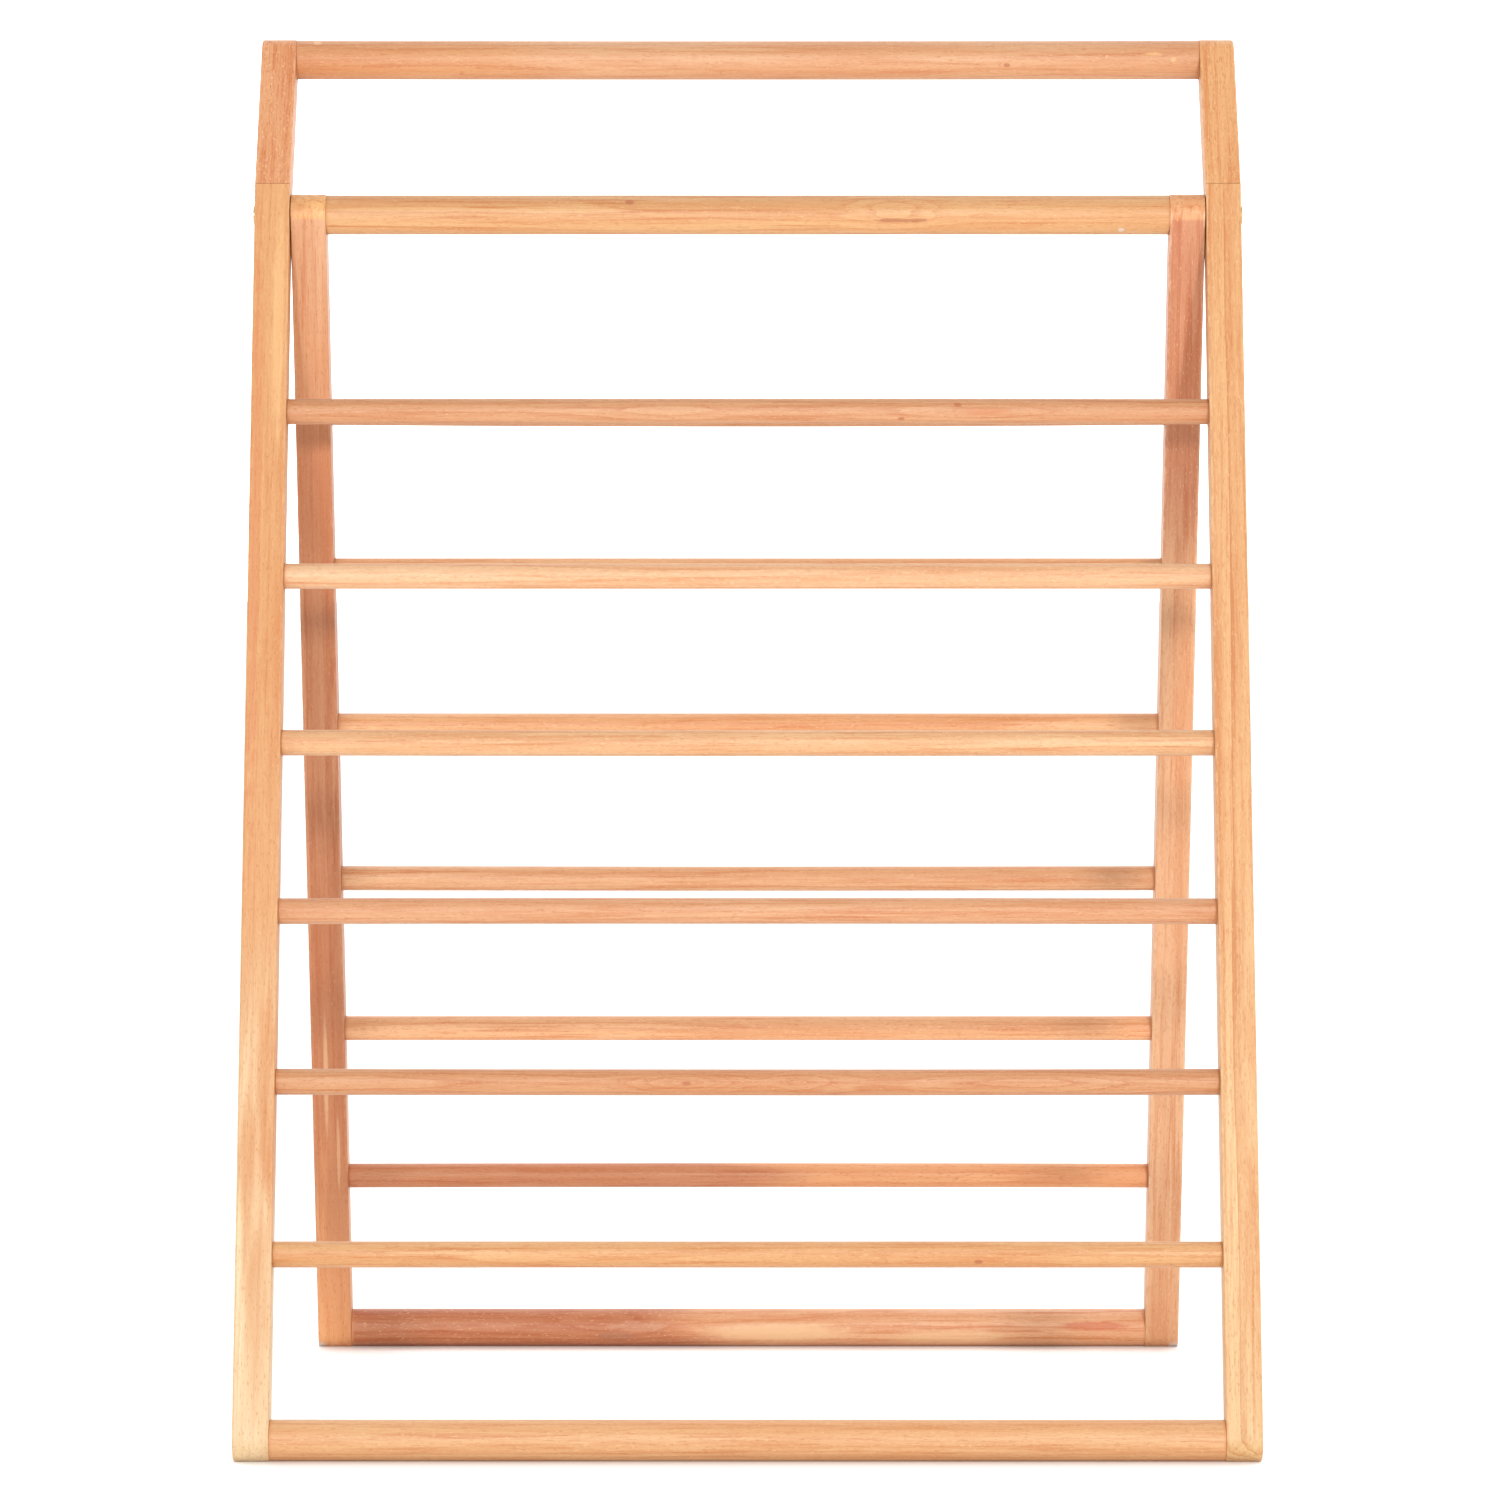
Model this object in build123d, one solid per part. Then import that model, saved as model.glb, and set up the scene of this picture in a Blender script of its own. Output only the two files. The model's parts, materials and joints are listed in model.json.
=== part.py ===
from build123d import *
import os
from math import asin, cos, degrees, radians, sin

# Folding A-frame clothes drying rack in oiled teak. Millimetres, +Z up.
# The origin is on the floor, midway between the feet, straight below the pivot axis.
# The front frame rises from -Y, leans back and ends above the pivot in two short handle arms.
# The rear frame hangs on the pivot inside the front frame and stands at +Y.
# Left is -X and right is +X, as seen from in front of the rack.

# Driving dimensions of the frames
OVERALL_WIDTH = 700.0        # over the two front stiles
FRAME_GAP = 0.6              # between a front stile and the rear stile beside it
STILE_WIDTH = 25.0           # along X
STILE_DEPTH = 29.0           # across the lean
OUTER_EASE = 2.0             # rounding of the front frame's outside edges
INNER_EASE = 1.0             # rounding of every other stile edge
LEAN = 17.7                  # of either frame from upright, when open
LEG_LENGTH = 876.5           # from the foot's axis to the pivot axis
FOOT_AXIS_HEIGHT = 14.1      # slightly under half the stile depth, which leaves flats on the floor

# Handle arms
SEAM_ABOVE_PIVOT = 16.3      # mitred joint between stile and arm
ARM_KINK = 19.9              # how much further back the arm leans than the stile
ARM_REACH = 122.4            # from the seam to the axis of the handle bar

# Rungs and rails
RUNG_COUNT = 6
RUNG_DIAMETER = 18.0
RUNG_PITCH = 120.5
FRONT_FIRST_RUNG = 128.0     # above the foot's axis, along the stile
REAR_FIRST_RUNG = 126.0
RAIL_DIAMETER = 28.0
TENON_DIAMETER = 18.0
TENON_LENGTH = 15.0
END_CLEARANCE = 0.5          # left at the bottom of a blind hole
GLUE_GAP = 0.05              # on the radius of every glued round joint
END_CHAMFER = 1.0

# Dowels across the mitred seam, two on each side
DOWEL_RADIUS = 3.0
DOWEL_LENGTH = 24.0
DOWEL_OFFSET = 6.5           # either side of the middle of the stile's depth

# Pivot: an M6 bolt through the front stile into an insert in the end of the rear top rail
BOLT_RADIUS = 3.0
BOLT_LENGTH = 50.0
BOLT_BORE_RADIUS = 3.05      # running fit in the front stile
BOLT_CLEARANCE_RADIUS = 3.2
HEAD_RADIUS = 6.5
HEAD_HEIGHT = 1.3
HEAD_EASE = 0.7
HEAD_STANDOFF = 0.2
SLOT_WIDTH = 1.6
SLOT_DEPTH = 0.7
SLOT_ANGLES = {-1: 5.0, 1: 72.0}     # where each screw slot stopped when the bolt was tightened
WASHER_RADIUS = 6.0
WASHER_THICKNESS = 0.4
TOP_TENON_LENGTH = 18.0
INSERT_RADIUS = 5.0
INSERT_LENGTH = 14.0
INSERT_BORE_RADIUS = 3.05
BOLT_END_ROOM = 10.0         # bolt hole beyond the insert

# Opening stop: a pin in each front stile runs in a blind arc cut in the rear stile
FOLD_TRAVEL = 25.8           # degrees, from open to the rear stiles nearing the top front rung
STOP_RADIUS = 17.0           # from the pivot axis to the pin
STOP_PIN_RADIUS = 2.0
STOP_PIN_LENGTH = 12.0
STOP_PIN_REACH = 3.5         # into the groove
STOP_GROOVE_WIDTH = 4.6
STOP_GROOVE_DEPTH = 4.0

# Worked out from the above
PIVOT_HEIGHT = FOOT_AXIS_HEIGHT + LEG_LENGTH * cos(radians(LEAN))
FRONT_OUTER = OVERALL_WIDTH / 2
FRONT_INNER = FRONT_OUTER - STILE_WIDTH
REAR_OUTER = FRONT_INNER - FRAME_GAP
REAR_INNER = REAR_OUTER - STILE_WIDTH
OPEN_ANGLE = 2 * LEAN
CLOSED_ANGLE = OPEN_ANGLE - FOLD_TRAVEL
STOP_BEARING = (OPEN_ANGLE + CLOSED_ANGLE) / 2
SIDES = {"left": -1, "right": 1}
FAR = 1000.0                 # larger than the rack, for half-space cutters


def in_front_frame(shape):
    """Place a shape drawn about the pivot, with the front stile along Z."""
    return Pos(0, 0, PIVOT_HEIGHT) * Rot(X=-LEAN) * shape


def in_rear_frame(shape):
    """Place a shape drawn about the pivot, with the rear stile along Z."""
    return Pos(0, 0, PIVOT_HEIGHT) * Rot(X=LEAN) * shape


def on_seam(shape, share=0.5):
    """Place a shape on the seam, turned by a share of the arm's kink; 0.5 is square to the mitre."""
    return Pos(0, 0, SEAM_ABOVE_PIVOT) * Rot(X=-ARM_KINK * share) * shape


def above_floor(shape):
    """Plane off whatever reaches below the floor, which leaves the flats that the feet stand on."""
    return shape - Pos(0, 0, -FAR / 2) * Box(2 * FAR, 2 * FAR, FAR)


def along_x(radius, x_from, x_to, y=0.0, z=0.0):
    """A round bar parallel to the X axis between two x positions."""
    return Pos((x_from + x_to) / 2, y, z) * Rot(Y=90) * Cylinder(radius, abs(x_to - x_from))


def stile_blank(side, inner, low, high, round_low, round_high, outer_ease=OUTER_EASE):
    """A straight stile along Z with eased edges, whose round ends are centred on low and high."""
    profile = Pos(0, (low + high) / 2) * Rectangle(STILE_DEPTH, high - low)
    if round_low:
        profile += Pos(0, low) * Circle(STILE_DEPTH / 2)
    if round_high:
        profile += Pos(0, high) * Circle(STILE_DEPTH / 2)
    blank = Pos(inner + STILE_WIDTH / 2, 0, 0) * extrude(Plane.YZ * profile, STILE_WIDTH / 2, both=True)
    blank = fillet(blank.faces().sort_by(Axis.X)[-1].edges(), outer_ease)
    blank = fillet(blank.faces().filter_by(Axis.X).sort_by(Axis.X)[0].edges(), INNER_EASE)
    return blank if side > 0 else mirror(blank, Plane.YZ)


def blind_hole(side, inner, z, depth=TENON_LENGTH, diameter=TENON_DIAMETER):
    """A round hole into a stile from its inner face."""
    return along_x(diameter / 2 + GLUE_GAP, side * (inner - 1), side * (inner + depth + END_CLEARANCE), z=z)


def rung_heights(first):
    """Heights of one frame's rungs along the stile, below the pivot."""
    return [first - LEG_LENGTH + RUNG_PITCH * step for step in range(RUNG_COUNT)]


def seam_dowel(side, offset, radius, length):
    """A dowel or its hole, square across the mitred seam."""
    middle = side * (FRONT_INNER + STILE_WIDTH / 2)
    return on_seam(Pos(middle, offset, 0) * Cylinder(radius, length))


def seam_dowels(side, gap=0.0, clearance=0.0):
    """Both dowels of one seam, or their holes when a gap and an end clearance are given."""
    length = DOWEL_LENGTH + 2 * clearance
    pair = [seam_dowel(side, offset, DOWEL_RADIUS + gap, length) for offset in (-DOWEL_OFFSET, DOWEL_OFFSET)]
    return pair[0] + pair[1]


def stop_pin(side, radius, x_from, x_to):
    """The stop pin or its hole, below and behind the pivot in the front stile."""
    bearing = radians(STOP_BEARING)
    y = STOP_RADIUS * sin(bearing)
    z = -STOP_RADIUS * cos(bearing)
    return along_x(radius, side * x_from, side * x_to, y, z)


def front_stile(side):
    """Front stile: foot at the bottom, mitred seam just above the pivot bore."""
    stile = stile_blank(side, FRONT_INNER, -LEG_LENGTH, SEAM_ABOVE_PIVOT + STILE_DEPTH, True, False)
    stile -= on_seam(Pos(0, 0, FAR / 2) * Box(FAR, FAR, FAR))
    stile -= blind_hole(side, FRONT_INNER, -LEG_LENGTH)
    for height in rung_heights(FRONT_FIRST_RUNG):
        stile -= blind_hole(side, FRONT_INNER, height)
    stile -= along_x(BOLT_BORE_RADIUS, side * (FRONT_INNER - 1), side * (FRONT_OUTER + 1))
    stile -= seam_dowels(side, GLUE_GAP, END_CLEARANCE)
    pin_end = REAR_OUTER - STOP_PIN_REACH + STOP_PIN_LENGTH
    stile -= stop_pin(side, STOP_PIN_RADIUS + GLUE_GAP, FRONT_INNER - 1, pin_end + END_CLEARANCE)
    return above_floor(in_front_frame(stile))


def handle_arm(side):
    """Short arm that carries on from the stile, leaning further back, with a round top end."""
    arm = on_seam(stile_blank(side, FRONT_INNER, -STILE_DEPTH, ARM_REACH, False, True), 1.0)
    arm -= on_seam(Pos(0, 0, -FAR / 2) * Box(FAR, FAR, FAR))
    arm -= on_seam(blind_hole(side, FRONT_INNER, ARM_REACH), 1.0)
    arm -= seam_dowels(side, GLUE_GAP, END_CLEARANCE)
    return in_front_frame(arm)


def stop_groove(side):
    """Blind arc in the rear stile's outer face, as long as the fold travel."""
    arc = CenterArc((0, 0), STOP_RADIUS, -90 - FOLD_TRAVEL / 2, FOLD_TRAVEL)
    groove = Plane.YZ * SlotArc(arc, STOP_GROOVE_WIDTH)
    depth = STOP_GROOVE_DEPTH + 1
    floor_x = REAR_OUTER - STOP_GROOVE_DEPTH if side > 0 else -REAR_OUTER - 1
    return Pos(floor_x, 0, 0) * extrude(groove, depth)


def rear_stile(side):
    """Rear stile, round at both ends, with the stop groove and the mortise of the top rail."""
    stile = stile_blank(side, REAR_INNER, -LEG_LENGTH, 0, True, True, INNER_EASE)
    stile -= blind_hole(side, REAR_INNER, -LEG_LENGTH)
    for height in rung_heights(REAR_FIRST_RUNG):
        stile -= blind_hole(side, REAR_INNER, height)
    stile -= blind_hole(side, REAR_INNER, 0, TOP_TENON_LENGTH)
    stile -= along_x(BOLT_CLEARANCE_RADIUS, side * REAR_INNER, side * (REAR_OUTER + 1))
    stile -= stop_groove(side)
    return above_floor(in_rear_frame(stile))


def rung(inner):
    """A plain round rung that enters both stiles."""
    reach = inner + TENON_LENGTH
    bar = along_x(RUNG_DIAMETER / 2, -reach, reach)
    return chamfer(bar.edges(), END_CHAMFER)


def rail(inner, tenon_length=TENON_LENGTH):
    """A thick round rail with a turned tenon at each end."""
    reach = inner + tenon_length
    tenons = along_x(TENON_DIAMETER / 2, -reach, reach)
    tenons = chamfer(tenons.edges(), END_CHAMFER)
    return along_x(RAIL_DIAMETER / 2, -inner, inner) + tenons


def rear_top_rail():
    """The rail on the pivot axis, bored at both ends for the insert and the bolt."""
    bar = rail(REAR_INNER, TOP_TENON_LENGTH)
    tip = REAR_INNER + TOP_TENON_LENGTH
    for side in SIDES.values():
        bar -= along_x(INSERT_RADIUS + GLUE_GAP, side * (tip - INSERT_LENGTH), side * (tip + 1))
        bar -= along_x(BOLT_CLEARANCE_RADIUS, side * (tip - INSERT_LENGTH - BOLT_END_ROOM), side * tip)
    return bar


def threaded_insert(side):
    """Tube that the bolt screws into, flush with the end of the top rail's tenon."""
    tip = side * (REAR_INNER + TOP_TENON_LENGTH)
    root = side * (REAR_INNER + TOP_TENON_LENGTH - INSERT_LENGTH)
    return along_x(INSERT_RADIUS, root, tip) - along_x(INSERT_BORE_RADIUS, root, tip)


def pivot_bolt(side):
    """Bolt with a low slotted head outside the front stile; the thread is a plain shank."""
    seat = FRONT_OUTER + HEAD_STANDOFF
    head = along_x(HEAD_RADIUS, seat, seat + HEAD_HEIGHT)
    head = fillet(head.edges().sort_by(Axis.X)[-1], HEAD_EASE)
    slot = Box(2 * SLOT_DEPTH, 3 * HEAD_RADIUS, SLOT_WIDTH)
    head -= Pos(seat + HEAD_HEIGHT, 0, 0) * Rot(X=SLOT_ANGLES[side]) * slot
    shank = along_x(BOLT_RADIUS, seat - BOLT_LENGTH, seat)
    shank = chamfer(shank.edges().sort_by(Axis.X)[0], END_CHAMFER)
    bolt = head + shank
    return bolt if side > 0 else mirror(bolt, Plane.YZ)


def pivot_washer(side):
    """Thin washer between the stiles, on the rear one."""
    near = side * REAR_OUTER
    far = side * (REAR_OUTER + WASHER_THICKNESS)
    return along_x(WASHER_RADIUS, near, far) - along_x(BOLT_CLEARANCE_RADIUS, near, far)


parts = {}
for side_name, side in SIDES.items():
    parts[f"front_stile_{side_name}"] = front_stile(side)
    parts[f"handle_arm_{side_name}"] = handle_arm(side)
    parts[f"seam_dowels_{side_name}"] = in_front_frame(seam_dowels(side))
    pin_start = REAR_OUTER - STOP_PIN_REACH
    pin = stop_pin(side, STOP_PIN_RADIUS, pin_start, pin_start + STOP_PIN_LENGTH)
    parts[f"stop_pin_{side_name}"] = in_front_frame(pin)
    parts[f"rear_stile_{side_name}"] = rear_stile(side)
    parts[f"pivot_bolt_{side_name}"] = in_rear_frame(pivot_bolt(side))
    parts[f"pivot_washer_{side_name}"] = in_rear_frame(pivot_washer(side))
    parts[f"threaded_insert_{side_name}"] = in_rear_frame(threaded_insert(side))

parts["handle_bar"] = in_front_frame(on_seam(Pos(0, 0, ARM_REACH) * rail(FRONT_INNER), 1.0))
parts["front_bottom_rail"] = in_front_frame(Pos(0, 0, -LEG_LENGTH) * rail(FRONT_INNER))
parts["rear_top_rail"] = in_rear_frame(rear_top_rail())
parts["rear_bottom_rail"] = in_rear_frame(Pos(0, 0, -LEG_LENGTH) * rail(REAR_INNER))
for number, height in enumerate(rung_heights(FRONT_FIRST_RUNG), start=1):
    parts[f"front_rung_{number}"] = in_front_frame(Pos(0, 0, height) * rung(FRONT_INNER))
for number, height in enumerate(rung_heights(REAR_FIRST_RUNG), start=1):
    parts[f"rear_rung_{number}"] = in_rear_frame(Pos(0, 0, height) * rung(REAR_INNER))

# The fold ends where the rear stiles come near the top front rung
TOUCH_ANGLE = degrees(asin((STILE_DEPTH + RUNG_DIAMETER) / 2 / -rung_heights(FRONT_FIRST_RUNG)[-1]))
assert CLOSED_ANGLE > TOUCH_ANGLE

os.makedirs("parts", exist_ok=True)
for name, shape in parts.items():
    export_step(shape, f"parts/{name}.step")
print(f"pivot height {PIVOT_HEIGHT:.2f} mm, frames touch at {TOUCH_ANGLE:.2f} deg, closed at {CLOSED_ANGLE:.2f} deg")
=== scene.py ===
import json
import math

import bmesh
import bpy
from mathutils import Euler, Matrix, Vector, noise


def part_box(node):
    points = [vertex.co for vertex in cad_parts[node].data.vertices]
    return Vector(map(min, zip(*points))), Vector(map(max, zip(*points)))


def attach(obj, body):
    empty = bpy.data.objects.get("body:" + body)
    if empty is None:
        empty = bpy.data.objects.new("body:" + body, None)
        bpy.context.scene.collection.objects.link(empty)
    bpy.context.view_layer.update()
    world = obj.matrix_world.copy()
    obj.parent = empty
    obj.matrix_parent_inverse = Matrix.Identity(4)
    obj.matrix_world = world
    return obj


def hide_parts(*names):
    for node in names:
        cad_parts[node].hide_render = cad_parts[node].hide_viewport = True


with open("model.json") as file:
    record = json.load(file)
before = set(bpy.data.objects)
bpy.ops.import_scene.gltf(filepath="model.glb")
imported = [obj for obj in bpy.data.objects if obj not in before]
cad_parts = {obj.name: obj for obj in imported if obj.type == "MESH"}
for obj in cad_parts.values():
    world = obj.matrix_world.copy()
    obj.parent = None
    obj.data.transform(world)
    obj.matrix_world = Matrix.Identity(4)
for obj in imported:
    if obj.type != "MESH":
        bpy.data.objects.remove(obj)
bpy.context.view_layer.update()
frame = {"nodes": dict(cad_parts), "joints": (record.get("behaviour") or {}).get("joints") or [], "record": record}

# A folding A-frame drying rack in teak. Metres, in the frame of the CAD model: +Z up, front frame at -Y.
# Every wooden piece is built here as a finer mesh along its own local Z and set on its CAD axis.

MM = 0.001

# Camera at the photograph's viewing angle
CAMERA_AT = (0.0055, -4.99, 0.7782)
CAMERA_TILT = 3.557            # degrees below level
CAMERA_TURN = 0.05
CAMERA_LENS = 168.1            # for a sensor 36 mm wide

# Studio light: a white surround, brightest behind, and a soft box on each side of the camera
SURROUND_FRONT = 0.48
SURROUND_BACK = 2.3
SURROUND_TURN = (-0.3, 0.5)    # Y of the direction where it starts and stops growing brighter
BOX_SIZE = (0.45, 0.5)         # width and height in metres
BOX_HEIGHT = 1.62              # of its middle
LEFT_BOX = (-0.9, -4.4, 83)    # x, y, power
RIGHT_BOX = (1.35, -4.2, 100)
FLOOR_SIZE = 14.0
FLOOR_TONES = (0.96, 0.99)
TONE_TO_SURFACE = (0.67, 0.668, 0.63)     # surface colour against the tone it shows in this light

# Fineness of the meshes
SMOOTH_ANGLE = math.radians(35)
FLAT_FACE_WEIGHT = 80          # how much the large faces steer the shading
EASE_STEPS = 6                 # of an eased corner
ARC_STEPS = 18                 # of a quarter of a stile's round end
GROOVE_STEPS = 10              # of each arc of a stop groove
STILE_STEP = 9 * MM
BAR_STEP = 9 * MM
BAR_SIDES = 56
BOLT_SIDES = 64
CUTTER_SIDES = 48
CUTTER_OVERSHOOT = 10 * MM     # past each face of the piece it cuts

# Stile and arm details that the frame does not give
OUTER_EASE = 2.0 * MM          # outside corners of the front frame
INNER_EASE = 0.8 * MM          # every other corner
FLOOR_EASE = 0.3 * MM          # rim of the flat under each foot
SEAM_EASE = 0.25 * MM          # rims of the mitred seam
SEAM_ABOVE_PIVOT = 16.3 * MM
SEAM_GAP = 0.12 * MM           # each side of the mitred seam
EASE_WANDER = 0.3              # how much hand sanding varies the eased edges
SANDING_ACROSS = 40            # how quickly that varies over a stile, per metre
SANDING_ALONG = 22
STILE_SEED_STEP = 7.3          # how far apart two stiles, and the two faces of one, read the noise
FACE_SEED_STEP = 5
FIRST_SEED = {"front_stile": 1, "handle_arm": 5, "rear_stile": 9}

# Rung and rail details
RUNG_RADIUS = 9.0 * MM
RAIL_RADIUS = 14.0 * MM
TENON_RADIUS = 9.0 * MM
BURIED = 1.5 * MM              # how far a visible bar runs into its stile
RUNG_SHOULDER = 0.35 * MM      # rounding of the end that meets the stile
RAIL_SHOULDER = 0.5 * MM
SHOULDER_TURNS = (0.0, 0.35, 0.7, 1.05, 1.35)         # angles at which the rounding has a ring
TURNING_WAVE = 0.07 * MM       # how deep the turning and sanding left faint flats
TURNING_ROUND = 1.3            # how quickly they vary round a bar, and along it per metre
TURNING_ALONG = 9
BAR_SEED_STEP = 3.1            # how far apart two bars read the noise

# Pivot and stop
BORE_RADIUS = 3.05 * MM
STOP_RADIUS = 17.0 * MM
STOP_GROOVE_HALF_WIDTH = 2.3 * MM
STOP_GROOVE_DEPTH = 4.0 * MM
SHANK_RADIUS = 3 * MM
TIP_RADIUS = 2.4 * MM
TIP_CHAMFER = 0.8 * MM
NECK_RADIUS = 3.3 * MM         # the flare under the head
NECK_LENGTH = 0.6 * MM
HEAD_GAP = 0.2 * MM            # between the head and its stile
HEAD_FOOT_EASE = 0.15 * MM
HEAD_EASE = 0.7 * MM
DOME_RISE = 0.12 * MM          # from the eased rim to the middle of the head
DOME_SHOULDER = (0.55, 0.05 * MM)         # share of the head's radius, and how far below the middle
SLOT_WIDTH = 1.6 * MM
SLOT_DEPTH = 0.7 * MM
SLOT_EASE = 0.12 * MM
SLOT_EASE_ANGLE = math.radians(50)
SLOT_ANGLES = {"left": 5.0, "right": 72.0}

SIDES = {"left": -1, "right": 1}
X_AXIS = Vector((1, 0, 0))
Z_AXIS = Vector((0, 0, 1))


# ---------------------------------------------------------------- the frame's own measures

def centre(node):
    """Middle of a CAD node's box."""
    low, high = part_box(node)
    return (low + high) / 2


def span_x(node):
    """Length of a CAD node along X."""
    low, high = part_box(node)
    return high.x - low.x


joint = frame["joints"][0]
pivot = Vector(joint["pos_m"])
fold_travel = math.radians(joint["range_deg"][1])
front_foot = Vector((0, *centre("front_bottom_rail").yz))
rear_foot = Vector((0, *centre("rear_bottom_rail").yz))
front_up = (pivot - front_foot).normalized()
rear_up = (pivot - rear_foot).normalized()
leg_length = (pivot - front_foot).length
stile_depth = 2 * (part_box("rear_stile_left")[1].z - pivot.z)
seam = pivot + front_up * SEAM_ABOVE_PIVOT
bar_axis = Vector((0, *centre("handle_bar").yz))
arm_up = (bar_axis - seam).normalized()


# ---------------------------------------------------------------- mesh helpers

def axes(origin, along, across=X_AXIS):
    """Placement whose local Z runs along the piece and whose local X is across it."""
    z = along.normalized()
    x = (across - z * across.dot(z)).normalized()
    return Matrix.Translation(origin) @ Matrix((x, z.cross(x), z)).transposed().to_4x4()


def finish_mesh(name, bm, placement):
    """Turn a bmesh into a placed object with smooth shading over its rounded stretches."""
    bmesh.ops.recalc_face_normals(bm, faces=bm.faces)
    mesh = bpy.data.meshes.new(name)
    bm.to_mesh(mesh)
    bm.free()
    piece = bpy.data.objects.new(name, mesh)
    bpy.context.scene.collection.objects.link(piece)
    piece.matrix_world = placement
    shade(piece)
    return piece


def shade(piece):
    """Smooth shading, sharp edges kept, flat faces kept flat by weighted normals."""
    piece.data.shade_smooth()
    piece.data.set_sharp_from_angle(angle=SMOOTH_ANGLE)
    weighted = piece.modifiers.new("weighted_normals", "WEIGHTED_NORMAL")
    weighted.keep_sharp = True
    weighted.weight = FLAT_FACE_WEIGHT


def cut_flat(bm, point, outward, ease):
    """Cut away what lies beyond a plane, close the end and ease its rim in two steps."""
    geometry = bm.verts[:] + bm.edges[:] + bm.faces[:]
    cut = bmesh.ops.bisect_plane(bm, geom=geometry, plane_co=point, plane_no=outward, clear_outer=True)
    rim = [item for item in cut["geom_cut"] if isinstance(item, bmesh.types.BMEdge)]
    bmesh.ops.edgeloop_fill(bm, edges=rim)
    bmesh.ops.bevel(bm, geom=rim, offset=ease, segments=2, profile=0.5, affect="EDGES")


def carve(piece, cutter):
    """Cut the cutter's volume out of the piece and discard the cutter."""
    cut = piece.modifiers.new("cut", "BOOLEAN")
    cut.object = cutter
    cut.operation = "DIFFERENCE"
    cut.solver = "EXACT"
    for other in piece.modifiers:
        other.show_viewport = other == cut
    bpy.context.view_layer.update()
    evaluated = piece.evaluated_get(bpy.context.evaluated_depsgraph_get())
    mesh = bpy.data.meshes.new_from_object(evaluated)
    piece.modifiers.clear()
    piece.data = mesh
    bpy.data.objects.remove(cutter)
    shade(piece)


def round_cutter(radius, start_x, end_x, y, z):
    """A cylinder along X in the CAD frame, as a cutter."""
    bm = bmesh.new()
    length = abs(end_x - start_x)
    bmesh.ops.create_cone(bm, segments=CUTTER_SIDES, radius1=radius, radius2=radius, depth=length,
                          cap_ends=True)
    middle = Vector(((start_x + end_x) / 2, y, z))
    return finish_mesh("cutter", bm, axes(middle, X_AXIS, Z_AXIS))


def prism(outline, low_x, high_x):
    """A closed prism along X from an outline in (y, z) about the pivot, as a cutter."""
    bm = bmesh.new()
    rings = [[bm.verts.new((x, y, z)) for y, z in outline] for x in (low_x, high_x)]
    bm.faces.new(rings[0])
    bm.faces.new(rings[1])
    for i in range(len(outline)):
        j = (i + 1) % len(outline)
        bm.faces.new((rings[0][i], rings[0][j], rings[1][j], rings[1][i]))
    return finish_mesh("cutter", bm, Matrix.Translation(pivot))


# ---------------------------------------------------------------- stiles and handle arms

def stile_stations(length):
    """Points up one half of a stile's outline, as (y, z, normal y, normal z), with both ends rounded."""
    radius = stile_depth / 2
    quarter = [math.pi / 2 * i / ARC_STEPS for i in range(ARC_STEPS + 1)]
    rows = max(2, round(length / STILE_STEP))
    stations = [(radius * math.sin(a), -radius * math.cos(a), math.sin(a), -math.cos(a)) for a in quarter]
    stations += [(radius, length * i / rows, 1.0, 0.0) for i in range(1, rows)]
    for a in quarter:
        stations.append((radius * math.cos(a), length + radius * math.sin(a), math.cos(a), math.sin(a)))
    return stations


def stile_mesh(length, width, side, seed, outer_ease):
    """A stile from z = 0 to length with half-round ends and hand-eased edges; the outer face is at side."""
    half = stile_stations(length)
    loop = half + [(-y, z, -ny, nz) for y, z, ny, nz in half[-2:0:-1]]
    bm = bmesh.new()
    rings = []
    for y, z, ny, nz in loop:
        spot = Vector((y * SANDING_ACROSS, seed * STILE_SEED_STEP, z * SANDING_ALONG))
        ring = []
        for sign, ease in ((1, outer_ease), (-1, INNER_EASE)):
            eased = ease * (1 + EASE_WANDER * noise.noise(spot + Vector((sign * FACE_SEED_STEP, 0, 0))))
            turns = range(EASE_STEPS + 1)
            angles = [math.pi / 2 * (1 - i / EASE_STEPS if sign > 0 else i / EASE_STEPS) for i in turns]
            for angle in angles:
                inset = eased * (1 - math.cos(angle))
                x = sign * side * (width / 2 - eased + eased * math.sin(angle))
                ring.append(bm.verts.new((x, y - ny * inset, z - nz * inset)))
        rings.append(ring)
    count = len(rings)
    for i in range(count):
        here, there = rings[i], rings[(i + 1) % count]
        for k in range(len(here) - 1):
            bm.faces.new((here[k], there[k], there[k + 1], here[k + 1]))
    last = len(half) - 1
    for k in (0, len(rings[0]) - 1):
        for i in range(last):
            opposite = (count - i) % count
            corners = [rings[i][k], rings[i + 1][k], rings[(count - i - 1) % count][k], rings[opposite][k]]
            bm.faces.new(list(dict.fromkeys(corners)))
    return bm


def stile(name, foot, up, length, side, outer_ease, cuts):
    """Build, cut and place one stile or arm, which stands for the CAD node of the same name."""
    low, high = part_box(name)
    origin = Vector(((low.x + high.x) / 2, foot.y, foot.z))
    placement = axes(origin, up)
    kind, side_name = name.rsplit("_", 1)
    seed = FIRST_SEED[kind] + list(SIDES).index(side_name)
    bm = stile_mesh(length, high.x - low.x, side, seed, outer_ease)
    into_local = placement.inverted()
    for point, outward, ease in cuts:
        cut_flat(bm, into_local @ point, into_local.to_3x3() @ outward, ease)
    piece = finish_mesh(name + "_wood", bm, placement)
    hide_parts(name)
    return piece


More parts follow.
